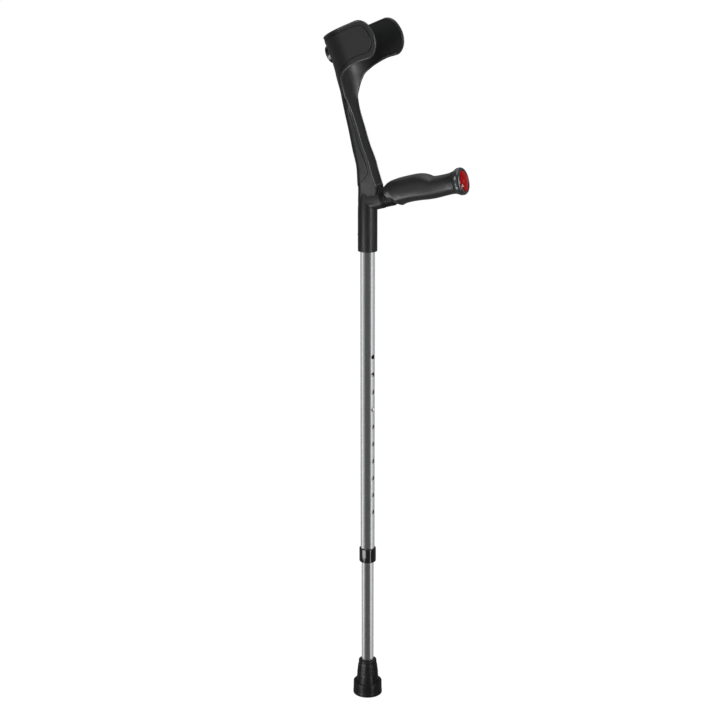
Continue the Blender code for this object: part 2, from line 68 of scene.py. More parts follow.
camera_data = bpy.data.cameras.new("camera")
camera_data.lens = 76.5
camera_data.sensor_width = 36.0
camera_data.shift_x = -0.0106
camera = placed("camera", camera_data)
camera.location = towards_camera * VIEW_DISTANCE + Vector((0.0, 0.0, VIEW_HEIGHT))
camera.rotation_euler = (math.pi / 2 - VIEW_PITCH, 0.0, VIEW_TURN)
bpy.context.scene.camera = camera
bpy.context.scene.view_settings.view_transform = "Standard"

black_pieces, metal_pieces, grip_pieces, lens_pieces = (
    bpy.data.collections.new(f"{kind}_pieces") for kind in ("black", "metal", "grip", "lens")
)


def soft_panel(name, turn, rise, distance, width, tall, radiance, lit, aim):
    """A rectangular soft light, turned about the leg from the camera's side (+ is to the right) and
    raised by rise degrees above the height it aims at. Its power is radiance x area x pi. It lights
    only the pieces in lit, or all of them."""
    data = bpy.data.lights.new(name, "AREA")
    data.shape = "RECTANGLE"
    data.size, data.size_y = width, tall
    data.energy = radiance * width * tall * math.pi
    light = placed(name, data)
    turn, rise = math.radians(turn), math.radians(rise)
    level = towards_camera * math.cos(turn) + to_the_right * math.sin(turn)
    spot = level * math.cos(rise) + Vector((0.0, 0.0, math.sin(rise)))
    light.location = spot * distance + Vector((0.0, 0.0, aim))
    light.rotation_euler = (-spot).to_track_quat("-Z", "Y").to_euler()
    light.visible_camera = False
    if lit is not None:
        light.light_linking.receiver_collection = lit


# Name, turn, rise, distance, width, tall, radiance, the pieces that it lights, and its aim.
for panel in (
    ("panel_left", -97.0, 0.0, 1.9, 1.1, 3.6, 1.25, metal_pieces, 0.5),
    ("panel_left_soft", -68.0, 0.0, 1.9, 1.1, 3.6, 0.50, metal_pieces, 0.5),
    ("panel_right", 68.0, 0.0, 1.9, 1.0, 3.6, 1.30, metal_pieces, 0.5),
    ("panel_right_soft", 105.0, 0.0, 1.9, 1.6, 3.6, 0.50, metal_pieces, 0.5),
    ("panel_back", 180.0, 0.0, 1.9, 3.4, 3.6, 0.60, metal_pieces, 0.5),
    ("strip_left", -51.0, 0.0, 1.6, 0.17, 1.5, 10.0, black_pieces, -0.25),
    ("strip_right", 39.0, 0.0, 1.6, 0.16, 2.4, 10.0, black_pieces, 0.2),
    ("panel_low", -52.0, -50.0, 0.95, 0.55, 0.25, 6.0, black_pieces, 0.82),
    ("edge_right", 62.0, 14.0, 1.6, 0.55, 0.9, 8.0, black_pieces, 0.95),
    ("fill_back", 190.0, 50.0, 2.4, 2.4, 1.6, 0.5, black_pieces, 0.8),
    ("fill_front", -48.0, 0.0, 2.0, 1.6, 2.6, 0.55, black_pieces, 0.75),
    ("bevel_left", -90.0, -24.0, 0.9, 0.45, 0.45, 4.5, grip_pieces, 0.8),
    ("cap_left", -62.0, 22.0, 1.1, 0.30, 0.5, 7.0, lens_pieces, 0.85),
    ("lens_glint", 92.0, 4.0, 1.2, 0.20, 0.5, 9.0, lens_pieces, 0.85),
    ("panel_top", 0.0, 88.0, 2.2, 2.0, 2.0, 1.6, None, 0.8),
):
    soft_panel(*panel)


def add_node(tree, kind, settings=None, **inputs):
    """Adds a shader node. Each input is a value, or another node's output to link to it."""
    node = tree.nodes.new(kind)
    for key, value in (settings or {}).items():
        setattr(node, key, value)
    for key, value in inputs.items():
        socket = node.inputs[key.replace("_", " ")]
        if isinstance(value, bpy.types.NodeSocket):
            tree.links.new(value, socket)
        else:
            socket.default_value = value
    return node


FLOOR_REACH = 80.0
floor_mesh = bpy.data.meshes.new("floor")
floor_corners = np.array([(-1, -1, 0), (1, -1, 0), (1, 1, 0), (-1, 1, 0)]) * FLOOR_REACH
floor_mesh.from_pydata(floor_corners.tolist(), [], [(0, 1, 2, 3)])
floor = placed("floor", floor_mesh)
floor.visible_glossy = False
floor_finish = bpy.data.materials.new("floor_finish")
floor_finish.use_nodes = True
floor_tree = floor_finish.node_tree
floor_shader = floor_tree.nodes["Principled BSDF"]
floor_shader.inputs["Base Color"].default_value = (0.90, 0.90, 0.90, 1.0)
floor_shader.inputs["Roughness"].default_value = 0.9
# Seen by the camera, most of the floor's light is its own, so that it stays a pale sweep.
FLOOR_GLOW, FLOOR_SHARE = 1.22, 0.80
floor_glow = add_node(floor_tree, "ShaderNodeEmission", Strength=FLOOR_GLOW)
floor_rays = add_node(floor_tree, "ShaderNodeLightPath").outputs["Is Camera Ray"]
floor_share = add_node(floor_tree, "ShaderNodeMath", {"operation": "MULTIPLY"}, Value=floor_rays)
floor_share.inputs[1].default_value = FLOOR_SHARE
floor_mix = add_node(floor_tree, "ShaderNodeMixShader", Fac=floor_share.outputs["Value"])
floor_tree.links.new(floor_shader.outputs["BSDF"], floor_mix.inputs[1])
floor_tree.links.new(floor_glow.outputs["Emission"], floor_mix.inputs[2])
floor_out = floor_tree.nodes["Material Output"]
floor_tree.links.new(floor_mix.outputs["Shader"], floor_out.inputs["Surface"])
floor_mesh.materials.append(floor_finish)

# The camera sees white all round. The light that the surround gives is dim, and a little stronger
# from behind the crutch.
surround = bpy.data.worlds.new("surround")
surround.use_nodes = True
bpy.context.scene.world = surround
sky = surround.node_tree
sky_seen = sky.nodes["Background"]
sky_seen.inputs["Color"].default_value = (1.0, 1.0, 1.0, 1.0)
direction = add_node(sky, "ShaderNodeTexCoord").outputs["Generated"]
behind = add_node(sky, "ShaderNodeVectorMath", {"operation": "DOT_PRODUCT"}, Vector=direction)
behind.inputs[1].default_value = tuple(-towards_camera)
ramp = add_node(
    sky, "ShaderNodeMapRange", {"interpolation_type": "SMOOTHSTEP"}, Value=behind.outputs["Value"],
    From_Min=-0.35, From_Max=0.75, To_Min=0.17, To_Max=0.22,
)
sky_lit = add_node(sky, "ShaderNodeBackground", Strength=ramp.outputs["Result"])
sky_rays = add_node(sky, "ShaderNodeLightPath").outputs["Is Camera Ray"]
sky_mix = add_node(sky, "ShaderNodeMixShader", Fac=sky_rays)
sky.links.new(sky_lit.outputs["Background"], sky_mix.inputs[1])
sky.links.new(sky_seen.outputs["Background"], sky_mix.inputs[2])
sky.links.new(sky_mix.outputs["Shader"], sky.nodes["World Output"].inputs["Surface"])

# ---- Outer tube --------------------------------------------------------------------------------
# The upper half of the telescopic leg: drawn aluminium tube, 22 mm across, satin anodised.
# Ten holes are drilled through one wall for the snap button.

TUBE_R = 0.0110
TUBE_WALL = 0.0012
TUBE_ENDS = (0.2300, 0.7970)
HOLE_R = 0.0035
HOLE_PITCH = 0.0277
BUTTON_HEIGHT = 0.4760
HOLE_TURN = math.radians(-15.0)
SHARP = 35.0  # edges that turn by more degrees than this stay crisp


def shade(mesh, sharp=SHARP):
    """Shades a mesh smooth, apart from the edges that turn by more than the sharp angle."""
    mesh.shade_smooth()
    mesh.set_sharp_from_angle(angle=math.radians(sharp))


def finish_mesh(name, points, faces, sharp=SHARP):
    """Makes an object at the origin from arrays of points and faces, closes its seams and poles,
    turns its faces outwards and shades it smooth up to the sharp angle."""
    mesh = bpy.data.meshes.new(name)
    mesh.from_pydata(points.reshape(-1, 3).tolist(), [], faces.tolist())
    work = bmesh.new()
    work.from_mesh(mesh)
    bmesh.ops.remove_doubles(work, verts=work.verts, dist=0.000002)
    bmesh.ops.recalc_face_normals(work, faces=work.faces)
    work.to_mesh(mesh)
    work.free()
    shade(mesh, sharp)
    return placed(name, mesh)


def grid_faces(rows, columns, wrap_rows=False, wrap_columns=False):
    """Quads that join each point of a rows x columns grid to the next, and wrap round if asked."""
    index = np.arange(rows * columns).reshape(rows, columns)
    if wrap_rows:
        index = np.concatenate([index, index[:1]])
    if wrap_columns:
        index = np.concatenate([index, index[:, :1]], axis=1)
    quads = np.stack([index[:-1, :-1], index[:-1, 1:], index[1:, 1:], index[1:, :-1]], axis=-1)
    return quads.reshape(-1, 4)


def rounded(corners, steps=5):
    """A profile of (radius, height, rounding) corners, with each corner replaced by a curve that
    leaves the side before it and meets the side after it at the rounding's distance."""
    corners = np.array(corners, float)
    path = [corners[0, :2]]
    for before, here, after in zip(corners[:-2], corners[1:-1], corners[2:]):
        back, ahead = before[:2] - here[:2], after[:2] - here[:2]
        room = min(here[2], 0.49 * np.hypot(*back), 0.49 * np.hypot(*ahead))
        if room <= 0.0:
            path.append(here[:2])
            continue
        start = here[:2] + back / np.hypot(*back) * room
        end = here[:2] + ahead / np.hypot(*ahead) * room
        t = np.linspace(0.0, 1.0, steps)[:, None]
        path.extend((1 - t) ** 2 * start + 2 * t * (1 - t) * here[:2] + t**2 * end)
    path.append(corners[-1, :2])
    return np.array(path)


def turned(name, profile, sides=96, place=None, ring=False):
    """A turned piece: profile point (r, h) at angle a lies at (r cos a, r sin a, h). place moves it
    from its own axis to the crutch. ring joins the profile's end to its start."""
    radius, height = np.array(profile, float)[:, :2].T
    angle = np.linspace(0.0, 2.0 * math.pi, sides, endpoint=False)
    x = radius[:, None] * np.cos(angle)
    y = radius[:, None] * np.sin(angle)
    points = np.stack([x, y, np.broadcast_to(height[:, None], x.shape)], axis=-1)
    piece = finish_mesh(name, points, grid_faces(len(radius), sides, ring, True))
    if place is not None:
        piece.data.transform(place)
    return piece


def frame_at(place, outward, up):
    """The place of a turned piece: its axis runs along outward, and its first side faces up."""
    z = Vector(outward).normalized()
    y = z.cross(Vector(up)).normalized()
    return Matrix.Translation(place) @ Matrix((y.cross(z), y, z)).transposed().to_4x4()


def radial_place(height, turn):
    """The place of a piece whose axis points straight out of the leg."""
    outward = (math.cos(turn), math.sin(turn), 0.0)
    return frame_at((0.0, 0.0, height), outward, (0.0, 0.0, 1.0))


def cut_or_join(piece, tools, operation="DIFFERENCE"):
    """Cuts the tools from a piece, or joins them to it, keeps only the result and shades it."""
    for tool in tools:
        change = piece.modifiers.new("change", "BOOLEAN")
        change.operation = operation
        change.solver = "MANIFOLD"
        change.object = tool
    graph = bpy.context.evaluated_depsgraph_get()
    made = bpy.data.meshes.new_from_object(piece.evaluated_get(graph))
    piece.modifiers.clear()
    piece.data = made
    for tool in tools:
        bpy.data.objects.remove(tool)
    shade(made)


def dress(piece, material, body, slot, *nodes, lit=black_pieces):
    """Gives a piece its material, the body it rides on, the nodes it stands for and the lights that
    reach it. The slot is not used."""
    piece.data.materials.clear()
    piece.data.materials.append(material)
    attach(piece, body)
    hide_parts(*nodes)
    lit.objects.link(piece)


def finish_node(node, material, lit=metal_pieces):
    """Gives a part that is kept as it is its material and the lights that reach it."""
    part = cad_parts[node]
    part.data.materials.clear()
    part.data.materials.append(material)
    lit.objects.link(part)


def new_finish(name, **values):
    """A material with plain values on its Principled shader, with its tree and that shader."""
    material = bpy.data.materials.new(name)
    material.use_nodes = True
    shader = material.node_tree.nodes["Principled BSDF"]
    for key, value in values.items():
        shader.inputs[key.replace("_", " ")].default_value = value
    return material, material.node_tree, shader


def grain_group():
    """Node group of a fine surface grain. Height is the grain, from noise at the given Scale.
    Tint is the colour, lighter and darker by Spread in soft patches. Rough varies by Uneven."""
    tree = bpy.data.node_groups.new("surface_grain", "ShaderNodeTree")
    face = tree.interface
    face.new_socket("Color", in_out="INPUT", socket_type="NodeSocketColor")
    for socket in ("Scale", "Patch Scale", "Spread", "Roughness", "Uneven"):
        face.new_socket(socket, in_out="INPUT", socket_type="NodeSocketFloat")
    face.new_socket("Tint", in_out="OUTPUT", socket_type="NodeSocketColor")
    face.new_socket("Rough", in_out="OUTPUT", socket_type="NodeSocketFloat")
    face.new_socket("Height", in_out="OUTPUT", socket_type="NodeSocketFloat")
    given = tree.nodes.new("NodeGroupInput").outputs
    where = tree.nodes.new("ShaderNodeTexCoord").outputs["Object"]
    noise = "ShaderNodeTexNoise"
    fine = add_node(tree, noise, Vector=where, Scale=given["Scale"], Detail=3.0)
    patch = add_node(tree, noise, Vector=where, Scale=given["Patch Scale"], Detail=4.0)
    swing = add_node(
        tree, "ShaderNodeMapRange", {"clamp": False}, Value=patch.outputs["Fac"],
        From_Min=0.3, From_Max=0.7, To_Min=-1.0,
    )
    grow = add_node(tree, "ShaderNodeMath", {"operation": "MULTIPLY_ADD"})
    tree.links.new(swing.outputs["Result"], grow.inputs[0])
    tree.links.new(given["Spread"], grow.inputs[1])
    grow.inputs[2].default_value = 1.0
    tint = add_node(tree, "ShaderNodeVectorMath", {"operation": "SCALE"})
    tree.links.new(given["Color"], tint.inputs[0])
    tree.links.new(grow.outputs["Value"], tint.inputs["Scale"])
    rough = add_node(tree, "ShaderNodeMath", {"operation": "MULTIPLY_ADD"})
    tree.links.new(swing.outputs["Result"], rough.inputs[0])
    tree.links.new(given["Uneven"], rough.inputs[1])
    tree.links.new(given["Roughness"], rough.inputs[2])
    out = tree.nodes.new("NodeGroupOutput").inputs
    tree.links.new(tint.outputs["Vector"], out["Tint"])
    tree.links.new(rough.outputs["Value"], out["Rough"])
    tree.links.new(fine.outputs["Fac"], out["Height"])
    return tree


grain = grain_group()


def grained(name, color, roughness, uneven, spread, scale, patch_scale, depth, **values):
    """A finish with the surface grain on its colour, its roughness and, as a bump, its surface."""
    material, tree, shader = new_finish(name, **values)
    group = add_node(
        tree, "ShaderNodeGroup", {"node_tree": grain}, Color=(*color, 1.0), Scale=scale,
        Patch_Scale=patch_scale, Spread=spread, Roughness=roughness, Uneven=uneven,
    )
    grain_height = group.outputs["Height"]
    bump = add_node(tree, "ShaderNodeBump", Strength=1.0, Distance=depth, Height=grain_height)
    tree.links.new(group.outputs["Tint"], shader.inputs["Base Color"])
    tree.links.new(group.outputs["Rough"], shader.inputs["Roughness"])
    tree.links.new(bump.outputs["Normal"], shader.inputs["Normal"])
    return material


anodised = grained(
    "satin_anodised_aluminium", (0.56, 0.57, 0.58), 0.31, 0.02, 0.05, 2200.0, 260.0, 0.0000004,
    Metallic=1.0,
)
TUBE_EDGE = 0.0003  # the rounding of the cut ends


def drilled_tube(name, radius, wall, ends, heights):
    """A tube turned from a ring of four rounded corners, with a hole through one wall at each
    height. Each drill stands across the wall, from outside the tube to half its radius."""
    low, high = ends
    ring = rounded([
        (radius, (low + high) / 2, 0.0), (radius, low, TUBE_EDGE), (radius - wall, low, TUBE_EDGE),
        (radius - wall, high, TUBE_EDGE), (radius, high, TUBE_EDGE),
        (radius, (low + high) / 2, 0.0),
    ])[:-1]
    tube = turned(name, ring, 128, ring=True)
    drills = []
    start, stop = radius + 0.004, radius * 0.5
    bit = [(0.0, start), (HOLE_R, start), (HOLE_R, stop), (0.0, stop)]
    for number, height in enumerate(heights):
        drills.append(turned(f"drill_{number}", bit, 32, radial_place(height, HOLE_TURN)))
    cut_or_join(tube, drills)
    return tube


hole_heights = [BUTTON_HEIGHT + step * HOLE_PITCH for step in range(-6, 4)]
outer_tube = drilled_tube("leg_outer_tube", TUBE_R, TUBE_WALL, TUBE_ENDS, hole_heights)
dress(outer_tube, anodised, "upper", "tube", "outer_tube", lit=metal_pieces)

# ---- Inner tube --------------------------------------------------------------------------------
# The lower half of the leg, 19 mm across, slides in the outer tube and goes into the ferrule.
# It is the same satin anodised aluminium, with one hole for the snap button.

INNER_R = 0.0095
INNER_WALL = 0.0015
INNER_ENDS = (0.0117, 0.5310)

inner_tube = drilled_tube("leg_inner_tube", INNER_R, INNER_WALL, INNER_ENDS, [BUTTON_HEIGHT])
dress(inner_tube, anodised, "lower", "tube", "inner_tube", lit=metal_pieces)

# ---- Snap button and its spring ----------------------------------------------------------------
# A bright plated steel button with a domed head stands in the hole and locks the leg's length.
# It is pushed out by a bent strip of spring steel inside the inner tube.

plated = grained(
    "bright_plated_steel", (0.80, 0.80, 0.79), 0.16, 0.04, 0.03, 1800.0, 500.0, 0.000004,
    Metallic=1.0,
)
BUTTON_TIP = 0.0129
BUTTON_R, BUTTON_FLANGE_R = 0.0032, 0.0044
BUTTON_FLANGE = (0.0053, 0.0061)
button_profile = rounded([
    (0.0, BUTTON_TIP, 0.0), (0.0022, BUTTON_TIP - 0.0001, 0.0010),
    (BUTTON_R, BUTTON_TIP - 0.0012, 0.0010), (BUTTON_R, BUTTON_FLANGE[1], 0.0002),
    (BUTTON_FLANGE_R, BUTTON_FLANGE[1], 0.0002), (BUTTON_FLANGE_R, BUTTON_FLANGE[0], 0.0002),
    (0.0, BUTTON_FLANGE[0], 0.0),
])
button = turned("snap_button_pin", button_profile, 48, radial_place(BUTTON_HEIGHT, HOLE_TURN))
dress(button, plated, "button", "button_steel", "snap_button", lit=metal_pieces)

spring_steel = grained(
    "plain_spring_steel", (0.42, 0.42, 0.41), 0.34, 0.05, 0.05, 1500.0, 300.0, 0.000006,
    Metallic=1.0,
)
SPRING_WIDTH, SPRING_T = 0.0070, 0.0006
SPRING_BACK, SPRING_FRONT = -0.0065, 0.0047


def unit(vectors):
    """Vectors divided by their lengths."""
    return vectors / np.maximum(np.linalg.norm(vectors, axis=-1, keepdims=True), 1e-12)


def bent_strip(name, path, width, thick, place):
    """A strip bent along a path of (out, up) points. A rounded rectangle, width x thick, is carried
    along it: each of its points lies at path + a x (the path's normal) + b x (sideways)."""
    path = np.array(path, float)
    along = unit(np.gradient(path, axis=0))
    half_t, half_w, ends = thick / 2, width / 2, np.radians(np.arange(-90.0, 91.0, 30.0))
    bend = np.stack([half_t * np.sin(ends), half_w - half_t + half_t * np.cos(ends)], 1)
    outline = np.concatenate([bend, -bend])
    out = path[:, None, 0] + outline[:, 0] * -along[:, None, 1]
    up = path[:, None, 1] + outline[:, 0] * along[:, None, 0]
    sideways = np.broadcast_to(outline[:, 1], out.shape)
    rings = np.stack([up, sideways, out], axis=-1)
    tips = rings[[0, -1]].mean(axis=1, keepdims=True)
    tips = np.broadcast_to(tips, (2, *rings.shape[1:]))
    rings = np.concatenate([tips[:1], rings, tips[1:]])
    strip = finish_mesh(name, rings, grid_faces(len(rings), len(outline), False, True), 40.0)
    strip.data.transform(place)
    return strip


# The strip climbs the back of the tube, turns over in a bow, and comes down behind the button.
BOW_R, BOW_OUT, BOW_UP = 0.0050, -0.0015, 0.0250
bow = np.radians(np.linspace(165.0, 25.0, 19))
spring_path = [(SPRING_BACK, up) for up in np.linspace(-0.0360, 0.0240, 11)]
spring_path += [(BOW_OUT + BOW_R * math.cos(a), BOW_UP + BOW_R * math.sin(a)) for a in bow]
spring_path += [(0.0031 + 0.0015 * t, 0.0270 - 0.0190 * t) for t in np.linspace(0.15, 0.92, 8)]
spring_path += [(0.0046, 0.0080), (0.00468, 0.0045)]
spring_path += [(SPRING_FRONT, 0.0010), (SPRING_FRONT, -0.0060)]
button_place = radial_place(BUTTON_HEIGHT, HOLE_TURN)
spring = bent_strip("snap_button_spring", spring_path, SPRING_WIDTH, SPRING_T, button_place)
spring.data.materials.append(spring_steel)
metal_pieces.objects.link(spring)
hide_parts("button_spring")
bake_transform(spring)

# ---- Collar and anti-rattle ring ---------------------------------------------------------------
# A glossy black moulded collar is glued over the outer tube's lower end and turns in under it.
# It holds a plain plastic ring that takes the play out of the inner tube.

COLLAR_R = 0.0130
COLLAR_LOW, COLLAR_HIGH = 0.2262, 0.2484
COLLAR_LIP_R, COLLAR_LIP_TOP = 0.0104, COLLAR_LOW + 0.0012
TUBE_FIT_R = TUBE_R + 0.0003  # the bore of what is fitted over the outer tube

gloss_black = grained(
    "glossy_black_plastic", (0.008, 0.008, 0.009), 0.16, 0.02, 0.10, 900.0, 120.0, 0.000001,
    IOR=1.45, Coat_Weight=0.2, Coat_Roughness=0.05,
)
collar_profile = rounded([
    (COLLAR_R, 0.2350, 0.0), (COLLAR_R, COLLAR_LOW, 0.0024), (COLLAR_LIP_R, COLLAR_LOW, 0.0003),
    (COLLAR_LIP_R, COLLAR_LIP_TOP, 0.0002), (TUBE_FIT_R, COLLAR_LIP_TOP, 0.0002),
    (TUBE_FIT_R, COLLAR_HIGH, 0.0003), (COLLAR_R, COLLAR_HIGH, 0.0008), (COLLAR_R, 0.2350, 0.0),
])[:-1]
collar = turned("leg_collar", collar_profile, 96, ring=True)
dress(collar, gloss_black, "upper", "gloss_plastic", "tube_collar")

plain_plastic = grained(
    "plain_dark_plastic", (0.030, 0.030, 0.032), 0.45, 0.05, 0.08, 1200.0, 200.0, 0.00002
)
finish_node("anti_rattle_ring", plain_plastic, black_pieces)

# ---- Ferrule -----------------------------------------------------------------------------------
# A moulded black rubber foot pushed over the inner tube. Its neck is a cone in two tiers with
# raised ribs, and its broad base has a rounded shoulder and ring grooves for tread.

FERRULE_R = 0.0230
FERRULE_H = 0.0575
NECK_RIBS = 14

rubber = grained(
    "black_rubber", (0.007, 0.007, 0.008), 0.38, 0.06, 0.18, 1600.0, 90.0, 0.000004,
    Specular_IOR_Level=0.30,
)


def ribbed(profile, sides, ribs, rib_height, low, high):
    """Rings as on a turned piece, with the radius raised by rib_height on each rib between two
    heights: a rib is the top of a cosine of the angle, and it ends sharply at the low end. The
    socket, inside ribs_from, has none."""
    radius, height = profile.T
    ribs_from = 0.0125
    angle = np.linspace(0.0, 2.0 * math.pi, sides, endpoint=False)
    rib = np.clip((np.cos(ribs * angle) - 0.35) / 0.40, 0.0, 1.0)
    fade = np.clip((height - low) / 0.0006, 0.0, 1.0) * np.clip((high - height) / 0.004, 0.0, 1.0)
    raised = radius[:, None] + rib_height * rib * (fade * (radius > ribs_from))[:, None]
    x, y = raised * np.cos(angle), raised * np.sin(angle)
    return np.stack([x, y, np.broadcast_to(height[:, None], x.shape)], axis=-1)


SOCKET_R, SOCKET_FLOOR = 0.0098, 0.0095
GROOVE_WIDE, GROOVE_DEEP = 0.0016, 0.0012
neck = np.linspace(0.0538, 0.0338, 22)
skirt = np.linspace(0.0330, 0.0222, 10)
ferrule_corners = [
    (SOCKET_R, SOCKET_FLOOR, 0.0), (SOCKET_R, FERRULE_H, 0.0008), (0.0140, FERRULE_H, 0.0016),
    (0.0143, 0.0548, 0.0004), (0.0138, 0.0538, 0.0003),
]
ferrule_corners += [(0.0139 + (0.0538 - z) * 0.115, z, 0.0) for z in neck[1:]]
ferrule_corners += [(0.0166 + (0.0330 - z) * 0.10, z, 0.0) for z in skirt]
ferrule_corners += [
    (0.0180, 0.0196, 0.0010), (0.0206, 0.0196, 0.0006), (0.0212, 0.0206, 0.0005),
    (0.0224, 0.0206, 0.0007), (0.0226, 0.0120, 0.0002),
    (0.0227, 0.0052, 0.0004), (FERRULE_R, 0.0046, 0.0004), (FERRULE_R, 0.0, 0.0010),
]
for outside in (0.0180, 0.0125):
    inside = outside - GROOVE_WIDE
    ferrule_corners += [(outside, 0.0, 0.0001), (outside, GROOVE_DEEP, 0.0001)]
    ferrule_corners += [(inside, GROOVE_DEEP, 0.0001), (inside, 0.0, 0.0001)]
ferrule_outline = rounded(ferrule_corners + [(0.0, 0.0, 0.0)])
ferrule_outline = np.concatenate([[[0.0, SOCKET_FLOOR]], ferrule_outline])
ferrule_points = ribbed(ferrule_outline, 224, NECK_RIBS, 0.0007, 0.0342, 0.0530)
ferrule_faces = grid_faces(*ferrule_points.shape[:2], False, True)
ferrule = finish_mesh("ferrule_foot", ferrule_points, ferrule_faces, 30.0)
dress(ferrule, rubber, "lower", "ferrule_rubber", "ferrule")
finish_node("ferrule_washer", spring_steel)

# ---- Frame moulding ----------------------------------------------------------------------------
# One piece of satin black moulded plastic: the sleeve over the leg, the stub that carries the grip,
# the arm that leans back and the open cuff whose two flaps reach round the forearm.

# Sections up the back line: station, back x, height, half of the flat back, corner radius,
# and girth from the back line to the front edge.
SECTIONS = np.array((
    (-0.024, -0.0122, 0.7770, 0.0042, 0.0074, 0.0160),
    (-0.006, -0.0128, 0.7950, 0.0045, 0.0075, 0.0310),
    (0.012, -0.0124, 0.8130, 0.0048, 0.0077, 0.0421),
    (0.022, -0.0128, 0.8230, 0.0051, 0.0079, 0.0400),
    (0.043, -0.0138, 0.8430, 0.0054, 0.0082, 0.0343),
    (0.073, -0.0208, 0.8720, 0.0052, 0.0085, 0.0296),
    (0.103, -0.0274, 0.9010, 0.0050, 0.0083, 0.0266),
    (0.120, -0.0316, 0.9175, 0.0048, 0.0090, 0.0252),
    (0.134, -0.0353, 0.9310, 0.0030, 0.0130, 0.0247),
    (0.148, -0.0386, 0.9446, 0.0010, 0.0205, 0.0258),
    (0.159, -0.0402, 0.9555, 0.0000, 0.0310, 0.0315),
    (0.171, -0.0424, 0.9672, 0.0000, 0.0425, 0.0395),
    (0.181, -0.0444, 0.9770, 0.0000, 0.0490, 0.0520),
    (0.192, -0.0475, 0.9880, 0.0000, 0.0490, 0.0900),
    (0.216, -0.0562, 1.0105, 0.0000, 0.0490, 0.1220),
    (0.2362, -0.0652, 1.0290, 0.0000, 0.0490, 0.0970),
))
HEEL, CUFF_TOP = 0.176, 0.2362  # stations where the flaps leave the arm, and of the cuff's top
FLAP_LOW, FLAP_TOP, FLAP_END = 0.1882, 0.2312, 0.1208
WRAP_FROM, WRAP_TO = 0.122, 0.186  # stations between which the face turns from flat to wrapped
RIM_ARM, RIM_CUFF = 0.0024, 0.0062
COVER_T, LINER_T = 0.0016, 0.0022
SLEEVE_R = 0.0146
SLEEVE_LOW = 0.7205


def smooth_step(value, low, high):
    """0 below low, 1 above high, and the cubic 3t^2 - 2t^3 between them."""
    t = np.clip((value - low) / (high - low), 0.0, 1.0)
    return t * t * (3.0 - 2.0 * t)


def at_station(station, column):
    """A column of SECTIONS at any station: a cubic between rows, whose slope at a row is the
    harmonic mean of the slopes beside it, so that it never overshoots."""
    x, y = SECTIONS[:, 0], SECTIONS[:, column]
    step = np.diff(x)
    rise = np.diff(y) / step
    slope = np.zeros_like(y)
    product, total = rise[:-1] * rise[1:], rise[:-1] + rise[1:]
    same = product > 0
    slope[1:-1][same] = 2.0 * product[same] / total[same]
    slope[0], slope[-1] = rise[0], rise[-1]
    i = np.clip(np.searchsorted(x, station) - 1, 0, len(x) - 2)
    t = np.clip((station - x[i]) / step[i], 0.0, 1.0)
    level = (1 + 2 * t) * (1 - t) ** 2 * y[i] + t * t * (3 - 2 * t) * y[i + 1]
    return level + step[i] * (t * (1 - t) ** 2 * slope[i] - t * t * (1 - t) * slope[i + 1])


def section_axes(station):
    """Sine and cosine of the back line's lean at a station."""
    nudge = 0.002
    low = np.clip(station - nudge, SECTIONS[0, 0], SECTIONS[-1, 0])
    high = np.clip(station + nudge, SECTIONS[0, 0], SECTIONS[-1, 0])
    run = at_station(high, 1) - at_station(low, 1)
    climb = at_station(high, 2) - at_station(low, 2)
    length = np.hypot(run, climb)
    return -run / length, climb / length


def skin(girth, station):
    """The outer skin: a section is a flat back, a round corner of the given radius and a straight
    side, measured round by girth; the station places and tilts the section."""
    lean_sin, lean_cos = section_axes(station)
    flat, radius = at_station(station, 3), at_station(station, 4)
    reach = np.abs(girth)
    angle = np.clip((reach - flat) / radius, 0.0, math.pi / 2)
    straight = np.maximum(reach - flat - radius * math.pi / 2, 0.0)
    across = np.minimum(reach, flat) + radius * np.sin(angle)
    forward = radius * (1.0 - np.cos(angle)) + straight
    x = at_station(station, 1) + forward * lean_cos
    z = at_station(station, 2) + forward * lean_sin
    return np.stack([x, np.sign(girth) * across, z], axis=-1)


def skin_normal(girth, station):
    """Unit normals of the skin: the cross product of its two small differences."""
    nudge = 0.0008
    along = skin(girth, station + nudge) - skin(girth, station - nudge)
    across = skin(girth + nudge, station) - skin(girth - nudge, station)
    return unit(np.cross(along, across))


def corner(centre, radius, start, end, count):
    """Points on a circular arc in (girth, station)."""
    angle = np.radians(np.linspace(start, end, count))
    return list(zip(centre[0] + radius * np.cos(angle), centre[1] + radius * np.sin(angle)))


def refined(rows, times):
    """A smooth curve through every row (Catmull-Rom), with times as many steps between them."""
    ends = np.concatenate([[2 * rows[0] - rows[1]], rows, [2 * rows[-1] - rows[-2]]])
    a, b, c, d = (ends[i : len(ends) - 3 + i, None] for i in range(4))
    t = np.linspace(0.0, 1.0, times, endpoint=False)[:, None]
    square, cube = 2 * a - 5 * b + 4 * c - d, 3 * b - a - 3 * c + d
    curve = 0.5 * (2 * b + (c - a) * t + square * t**2 + cube * t**3)
    return np.concatenate([curve.reshape(-1, rows.shape[1]), rows[-1:]])


def moulding_edge(start, count):
    """Half of the moulding's outline: up the arm, round the flap and to the top. Each row is its
    girth, its station, and the station where its grid line meets the back line."""
    arm = [(float(at_station(s, 5)), float(s), float(s)) for s in np.linspace(start, HEEL, count)]
    low_corner, high_corner = 0.019, 0.0225
    flap = [(0.0540, 0.1814), (0.0670, 0.1855), (0.0850, FLAP_LOW)]
    flap += corner((FLAP_END - low_corner, FLAP_LOW + low_corner), low_corner, -90, -5, 6)
    flap += corner((FLAP_END - high_corner, FLAP_TOP - high_corner), high_corner, 4, 90, 7)
    lead = np.linspace(0.0, 1.0, len(flap) + 1)[1:] ** 0.7
    return np.array(arm + [(g, s, HEEL + (CUFF_TOP - HEEL) * t) for (g, s), t in zip(flap, lead)])


